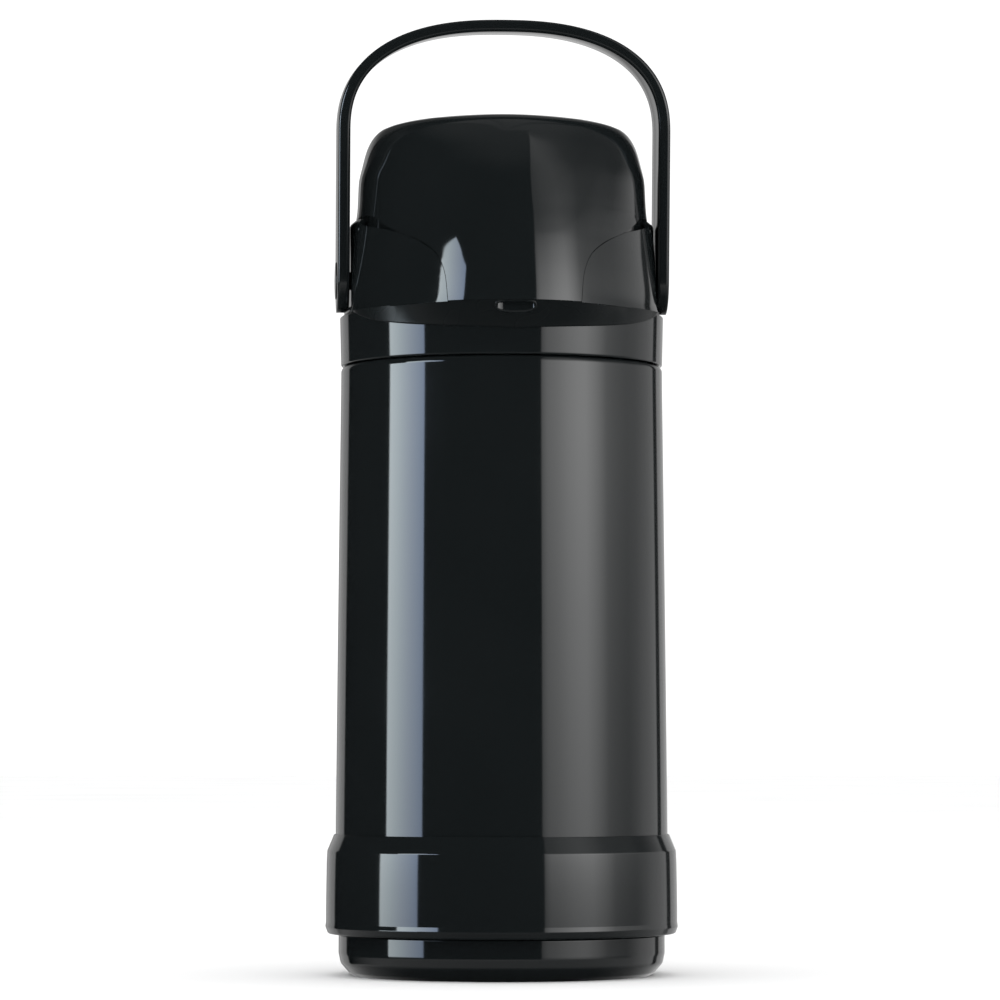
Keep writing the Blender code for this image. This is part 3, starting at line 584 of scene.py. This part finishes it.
def make_head_base():
    """Skirt round the pump, with a flat recess at each side for the bail's arms."""
    points = []
    for z in SKIRT_ROWS:
        shape = curve_through(SKIRT_LEVELS, z)
        right = skirt_side(shape, curve_through(SKIRT_EDGE, z)[0])
        left = [(-x, y) for x, y in reversed(right[:-1])]
        points += [(x, y, z) for x, y in right + left]
    columns = len(points) // len(SKIRT_ROWS)
    crown = points[-columns:]
    for inset, z in LEDGE:
        for x, y, _ in crown:
            reach = math.hypot(x, y)
            points.append((x * (1 - inset / reach), y * (1 - inset / reach), z))
    faces = grid_faces(len(SKIRT_ROWS) + len(LEDGE), columns)
    skirt = piece("head_base_skirt", points, faces, "gloss_black", "head", ["head_base"])
    thicken(skirt, SKIRT_WALL, 0.2)
    floor = [(50.4, 246.8, 0.3), (59.3, 246.8, 0.0), (59.3, 249.0, 0.0), (52.8, 249.0, 0.0),
             (52.8, 261.7, 0.0), (38.0, 261.7, 0.3), (38.0, 259.5, 0.0), (50.4, 259.5, 1.0)]
    turned("head_base_floor", floor, "gloss_black", "head")
    make_rim()
    make_chin()


def make_rim():
    """Upright rim behind the seam between cover and skirt."""
    rows, sides = (268.0, 272.0, 276.0, 280.0, 284.0, 288.0), 96
    points = []
    for inset, levels in ((3.0, rows), (4.2, rows[::-1])):
        for z in levels:
            front, half, rear, widest, nose_r = curve_through(COVER_LEVELS, z)
            shape = (front - inset, min(half, RIM_MOST) + 2.0 - inset,
                     min(rear, RIM_MOST) + 2.0 - inset, min(widest, 2.0), nose_r)
            for side in range(sides):
                points.append((*egg(shape, ROUND * side / sides - math.pi + 1e-6), z))
    faces = grid_faces(2 * len(rows), sides, closed=True) + closing_faces(2 * len(rows), sides)
    piece("head_base_rim", points, faces, "gloss_black", "head")


def make_chin():
    """Cove that carries the beak down onto the collar's wall."""
    wall = 60.95
    fine = math.radians(8)  # Half the sweep of the finer columns, round the spout.
    columns = (spread(-CHIN_SPREAD, -fine, 54)[:-1] + spread(-fine, fine, 60)
               + spread(fine, CHIN_SPREAD, 54)[1:])
    shares = spread(0.0, 1.0, 24)
    lower_edge = curve_through(SKIRT_LEVELS, SKIRT_ROWS[0])
    points = []
    for angle in columns:
        share = min(abs(angle) / CHIN_SPREAD, 1.0)
        low = CHIN_LOW + (CHIN_HIGH - CHIN_LOW) * (0.35 * share + 0.65 * share ** 4)
        reach = max(edge_reach(lower_edge, angle) - 0.4, wall + 0.5)
        section = [(59.0, 246.95), (wall - 0.15, 246.9), (wall - 0.15, low + 0.2),
                   (wall - 0.05, low)]
        for part in shares:
            radius = wall + 0.05 + (reach - wall - 0.05) * part
            section.append((radius, low + (CHIN_TOP - low) * part ** 0.8))
        across, along = math.sin(angle), -math.cos(angle)
        points += [(r * across, r * along, z) for r, z in section]
    half_x, half_y = SPOUT_MOUTH
    faces = []
    for face in grid_faces(len(columns), len(points) // len(columns)):
        inside = [(points[i][0] / half_x) ** 2 + ((points[i][1] - SPOUT_Y) / half_y) ** 2 < 1
                  for i in face]
        if not any(inside):
            faces.append(face)
    chin = piece("head_base_chin", points, faces, "gloss_black", "head")
    # Painted shade: the cove takes the darker, less reflective satin copy of the body's black.
    chin.material_slots[0].material = MATERIALS["satin_black_painted_shade"]


def make_spout():
    """Oval spout mouth, cut at a slope so that it faces forwards and down."""
    sides, lip_z = 64, 244.5
    rings = ((7.7, 2.15, 6.0), (7.7, 2.15, 1.2), (7.7, 2.15, 0.3), (7.5, 2.0, 0.0),
             (7.05, 1.7, 0.0), (6.85, 1.55, 0.3), (6.85, 1.55, 0.5), (6.85, 1.55, 4.8),
             (6.85, 1.55, 5.0))
    points = []
    for half_x, half_y, lift in rings:
        for side in range(sides):
            x, y = superellipse(half_x, half_y, 2.5, ROUND * side / sides)
            points.append((x, SPOUT_Y + y, lip_z - SPOUT_SLOPE * y + lift))
    faces = grid_faces(len(rings), sides, closed=True)
    faces.append(tuple(range(len(points) - sides, len(points))))
    piece("spout_mouth", points, faces, "gloss_black", "head", ["spout_nozzle"])


# Bail and pins.


def bail_path():
    """Centre line of the strap as (x, z, half width), from the right foot over the top."""
    half, rise = BAIL_X - BAIL_THICKNESS / 2, BAIL_RISE - BAIL_THICKNESS / 2
    right = []
    for drop in (11.95, 11.6, 10.8, 9.6, 8.0, 6.0, 3.5):
        width = math.sqrt((BAIL_WIDTH / 2) ** 2 - drop ** 2)
        right.append((half, PIVOT_Z - drop, width))
    for z in (260.0, 268.0, 280.0, 292.0, 304.0, 310.0, 314.0):
        right.append((half, z, BAIL_WIDTH / 2))
    for angle in spread(0.02, math.pi / 2, 44):
        x, z = superellipse(half, rise, BAIL_POWER, angle)
        right.append((x, SPRING_LINE + z, BAIL_WIDTH / 2))
    return right + [(-x, z, width) for x, z, width in reversed(right[:-1])]


def strap_section(half_width, half_depth, radius):
    """Rounded rectangle, as (along the width, along the depth)."""
    radius = min(radius, half_width * 0.9, half_depth * 0.9)
    found = []
    steps = STRAP_SIDES // 4
    for corner, (sx, sy) in enumerate(((1, 1), (-1, 1), (-1, -1), (1, -1))):
        for step in range(steps):
            angle = math.pi / 2 * (corner + step / (steps - 1))
            x = sx * (half_width - radius) + radius * math.cos(angle)
            y = sy * (half_depth - radius) + radius * math.sin(angle)
            found.append((x, y))
    return found


def make_bail():
    """Strap bent over the head, leaning back a little on its pivots."""
    path = bail_path()
    lean = Matrix.Rotation(BAIL_LEAN, 3, "X")
    foot = Vector((0.0, 0.0, PIVOT_Z))
    points = []
    for index, (x, z, half_width) in enumerate(path):
        before, after = path[max(index - 1, 0)], path[min(index + 1, len(path) - 1)]
        along = Vector((after[0] - before[0], 0.0, after[1] - before[1])).normalized()
        outward = Vector((along.z, 0.0, -along.x))
        center = Vector((x, 0.0, z))
        for w, d in strap_section(half_width, BAIL_THICKNESS / 2, 1.3):
            place = center + Vector((0.0, w, 0.0)) + outward * d
            points.append(tuple(foot + lean @ (place - foot)))
    faces = grid_faces(len(path), STRAP_SIDES, closed=True) + end_faces(len(path), STRAP_SIDES)
    piece("carry_bail_strap", points, faces, "gloss_black", "bail", ["carry_bail"])


def make_pins():
    """Pivot pins of the bail, each with its low round head."""
    sides = 48
    for side, name in ((-1, "left"), (1, "right")):
        outline = rounded([(0.0, 50.8, 0.0), (3.4, 50.8, 0.3), (3.4, 57.8, 0.0), (7.0, 62.0, 0.0),
                           (7.0, 62.75, 0.35), (0.0, 63.05, 0.0)], closed=False)
        points = []
        for r, x in outline:
            for step in range(sides):
                angle = ROUND * step / sides
                points.append((side * x, r * math.cos(angle), PIVOT_Z + r * math.sin(angle)))
        faces = grid_faces(len(outline), sides, closed=True)
        piece(f"pivot_pin_cap_{name}", points, faces, "gloss_black", "head", [f"pivot_pin_{name}"])


# Pump parts between the seat and the piston.


def make_bellows():
    """Folded pump skin between its seat and the piston."""
    low, high, folds = SEAT_TOP + 0.3, PISTON_Z - 0.3, 4
    outline = [(0.0, high)]
    steps = folds * 10
    for step in range(steps + 1):
        share = 1 - step / steps
        wave = 0.5 - 0.5 * math.cos(ROUND * folds * share)
        outline.append((25.0 + 6.0 * wave, low + 2.0 + (high - low - 2.0) * share))
    outline += [(33.0, low + 1.6), (33.0, low), (23.8, low)]
    sides = 72
    points = []
    for r, z in outline:
        points += [(r * math.cos(ROUND * s / sides), r * math.sin(ROUND * s / sides), z)
                   for s in range(sides)]
    faces = grid_faces(len(outline), sides, closed=True)
    bellows = piece("bellows_membrane", points, faces, "clear_silicone", "head", ["bellows"])
    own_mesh(bellows)


def make_spring():
    """Coil round the piston's stem."""
    radius, wire, turns, wire_sides = 12.0, 0.8, 5, 12
    high = PISTON_Z - 3.0
    steps = turns * 36
    points = []
    for step in range(steps + 1):
        angle = ROUND * turns * step / steps
        z = SPRING_FOOT + wire + (high - SPRING_FOOT - 2 * wire) * step / steps
        for side in range(wire_sides):
            around = ROUND * side / wire_sides
            r = radius + wire * math.cos(around)
            points.append((r * math.cos(angle), r * math.sin(angle), z + wire * math.sin(around)))
    faces = grid_faces(steps + 1, wire_sides, closed=True) + end_faces(steps + 1, wire_sides)
    spring = piece("return_spring_coil", points, faces, "spring_steel", "head", ["return_spring"])
    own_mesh(spring)


# Studio.

# How far round to the left of the front the camera stands. The surroundings are turned with it.
VIEW_TURN = math.radians(4.4)
# Its place in metres, its tilt from straight down, and its lens.
CAMERA_PLACE = (-0.13405, -1.7341, 0.08504)
CAMERA_TILT, CAMERA_LENS = math.radians(93.0528), 166.73

# What the gloss sees. Bearings are in degrees from the camera's side, positive to its right.
# Radiance round the horizon:
HORIZON = ((-180, 0.6), (-171, 0.28), (-163, 0.6), (-143, 0.62), (-141, 0.0), (27, 0.0),
           (27.8, 1.45), (32, 2.6), (40, 3.2), (48, 4.0), (56, 4.5), (62, 4.5), (68, 3.7),
           (72, 3.1), (76, 2.4), (80, 1.7), (86, 1.33), (92, 1.08), (100, 0.84), (110, 0.69),
           (137.5, 0.66), (139, 0.05), (145, 0.05), (147, 0.6), (180, 0.6))
HORIZON_TOP = 5.0
# How the large card on the right fades with elevation:
CARD_FADE = ((-26, 0.2), (-12, 0.26), (-4, 0.33), (-1.65, 0.43), (-0.25, 0.545), (2.6, 0.745),
             (4.7, 0.93), (6, 1.0), (8, 0.98), (20, 0.58), (30, 0.27), (42, 0.155), (90, 0.11))
# Tangent of the bearing of the card's left edge, its lean with height, and the glow overhead:
CARD_EDGE, CARD_LEAN, OVERHEAD_GLOW = 0.527, 0.27, 0.13
# Narrow softbox on the left by bearing, bluish towards its inner edge, and its power:
STRIP = ((-87.2, (0, 0, 0)), (-86.2, (0.90, 1.01, 1.06)), (-78, (0.78, 0.90, 0.97)),
         (-68, (0.60, 0.70, 0.83)), (-56.9, (0.41, 0.51, 0.69)), (-56.0, (0, 0, 0)))
STRIP_POWER = 10.0
# How many degrees the softbox's upper part stands to the right of its lower part:
STRIP_SWING = 14.0
# How the softbox fades with elevation, and the elevation of its pointed top by bearing:
STRIP_LEVEL = ((-24, 0.0), (-9, 0.02), (-6, 0.5), (0, 0.75), (6, 1.0), (14, 0.9), (25, 0.8))
STRIP_PEAK = ((-87, 16.6), (-70, 23.6), (-56, 16.0))
# The floor by elevation, pale towards the horizon and dark under the object:
BELOW = ((-90, 0.02), (-52, 0.03), (-34, 0.22), (-18, 0.5), (-6, 0.42))


def make_world():
    """White surroundings for the eye and the light, and a studio of soft cards for the gloss."""
    world = bpy.data.worlds.new("studio")
    bpy.context.scene.world = world
    world.use_nodes = True
    tree = world.node_tree
    tree.nodes.clear()
    kit = Nodes(tree)
    direction = kit.add("ShaderNodeTexCoord").outputs["Generated"]
    turn = kit.add("ShaderNodeVectorRotate", rotation_type="Z_AXIS")
    tree.links.new(direction, turn.inputs["Vector"])
    turn.inputs["Angle"].default_value = VIEW_TURN
    split = kit.add("ShaderNodeSeparateXYZ")
    tree.links.new(turn.outputs[0], split.inputs[0])
    x, y, z = split.outputs
    toward = kit.math("MULTIPLY", y, -1.0)
    degrees = 180 / math.pi
    azimuth = kit.math("MULTIPLY", kit.math("ARCTAN2", x, toward), degrees)
    elevation = kit.math("MULTIPLY", kit.math("ARCSINE", z), degrees)

    # The large card on the right, the room behind the object, and the glow overhead.
    around = kit.ramp(azimuth, [(at, v / HORIZON_TOP) for at, v in HORIZON], -180, 180)
    ring = kit.math("MULTIPLY", around, HORIZON_TOP)
    fade = kit.ramp(elevation, CARD_FADE, -26, 90)
    back = kit.math("MAXIMUM", kit.between(azimuth, 96.0, 118.0),
                    kit.between(azimuth, -120.0, -140.0))
    high_fade = kit.between(elevation, 26.0, 8.0)
    back_fade = kit.math("ADD", kit.math("MULTIPLY", high_fade, 0.85), 0.15)
    level = kit.math("ADD", kit.math("MULTIPLY", fade, kit.math("SUBTRACT", 1.0, back)),
                     kit.math("MULTIPLY", back_fade, back))
    upward = kit.math("POWER", kit.math("MAXIMUM", z, 0.0), 3.0)
    edge = kit.math("ADD", kit.math("MULTIPLY", kit.math("MAXIMUM", toward, 0.0), CARD_EDGE),
                    kit.math("MULTIPLY", upward, CARD_LEAN))
    card_side = kit.between(kit.math("SUBTRACT", x, edge), -0.004, 0.014)
    mask = kit.math("MAXIMUM", card_side, back)
    room = kit.math("MULTIPLY", kit.math("MULTIPLY", ring, level), mask)
    overhead = kit.math("MULTIPLY", kit.between(z, 0.75, 0.97), OVERHEAD_GLOW)
    room = kit.math("ADD", room, overhead)

    # The narrow softbox, then the floor below both.
    swing = kit.math("MULTIPLY", kit.between(elevation, 6.2, 8.2), STRIP_SWING)
    along_strip = kit.math("SUBTRACT", azimuth, swing)
    strip = kit.ramp(along_strip, STRIP, -90, -50)
    strip_level = kit.ramp(elevation, STRIP_LEVEL, -24, 25)
    peak = kit.ramp(along_strip, [(at, top / 100) for at, top in STRIP_PEAK], -90, -50)
    peak = kit.math("MULTIPLY", peak, 100.0)
    under_peak = kit.between(kit.math("SUBTRACT", peak, elevation), 0.0, 1.0)
    strip_power = kit.math("MULTIPLY", kit.math("MULTIPLY", strip_level, under_peak), STRIP_POWER)
    tinted = kit.add("ShaderNodeVectorMath", operation="SCALE")
    tree.links.new(strip, tinted.inputs[0])
    tree.links.new(strip_power, tinted.inputs["Scale"])
    both = kit.add("ShaderNodeVectorMath", operation="ADD")
    tree.links.new(room, both.inputs[0])
    tree.links.new(tinted.outputs[0], both.inputs[1])
    below = kit.between(elevation, -11.0, -20.0)
    mixed = kit.add("ShaderNodeMix", data_type="VECTOR")
    tree.links.new(below, mixed.inputs["Factor"])
    tree.links.new(both.outputs[0], mixed.inputs[4])
    tree.links.new(kit.ramp(elevation, BELOW, -90, 0), mixed.inputs[5])

    # Only glossy rays see the cards. Everything else sees plain white.
    glossy = kit.add("ShaderNodeBackground")
    tree.links.new(mixed.outputs[1], glossy.inputs["Color"])
    plain = kit.add("ShaderNodeBackground")
    plain.inputs["Color"].default_value = (1.0, 1.0, 1.0, 1.0)
    plain.inputs["Strength"].default_value = 1.15
    path = kit.add("ShaderNodeLightPath")
    choose = kit.add("ShaderNodeMixShader")
    tree.links.new(path.outputs["Is Glossy Ray"], choose.inputs[0])
    tree.links.new(plain.outputs[0], choose.inputs[1])
    tree.links.new(glossy.outputs[0], choose.inputs[2])
    output = kit.add("ShaderNodeOutputWorld")
    tree.links.new(choose.outputs[0], output.inputs["Surface"])


def make_studio():
    """Surroundings, pale floor, overhead light and camera."""
    make_world()
    mesh = bpy.data.meshes.new("floor")
    reach = 12.0
    corners = [(x * reach, y * reach, 0.0) for x, y in ((-1, -1), (1, -1), (1, 1), (-1, 1))]
    mesh.from_pydata(corners, [], [(0, 1, 2, 3)])
    floor = bpy.data.objects.new("floor", mesh)
    bpy.context.scene.collection.objects.link(floor)
    floor.visible_glossy = False
    mesh.materials.append(finish("pale_floor", (0.90, 0.90, 0.90), (0.94, 0.94, 0.94), (0.9, 0.95),
                                 (3.0, 40.0), (0.02, 0.0005)))
    data = bpy.data.lights.new("overhead", "AREA")
    data.shape = "SQUARE"
    data.size = 2.4
    data.energy = 18.0
    light = bpy.data.objects.new("overhead", data)
    light.location = (0.0, -0.4, 2.6)
    light.visible_glossy = False
    bpy.context.scene.collection.objects.link(light)
    data = bpy.data.cameras.new("camera")
    data.lens = CAMERA_LENS
    data.sensor_width = 36.0
    data.clip_end = 100.0
    camera = bpy.data.objects.new("camera", data)
    camera.location = CAMERA_PLACE
    camera.rotation_euler = (CAMERA_TILT, 0.0, -VIEW_TURN)
    bpy.context.scene.collection.objects.link(camera)
    bpy.context.scene.camera = camera
    bpy.context.scene.view_settings.view_transform = "Standard"


def finish_cad_nodes():
    """Gives every CAD node the detailed material of its slot."""
    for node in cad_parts.values():
        for place in node.material_slots:
            name = place.material.name.split(".")[0] if place.material else ""
            place.material = MATERIALS.get(name, MATERIALS["inner_black"])


finish_cad_nodes()
make_vessel()
make_head_cover()
make_press_lever()
make_head_base()
make_spout()
make_bail()
make_pins()
make_bellows()
make_spring()
make_studio()
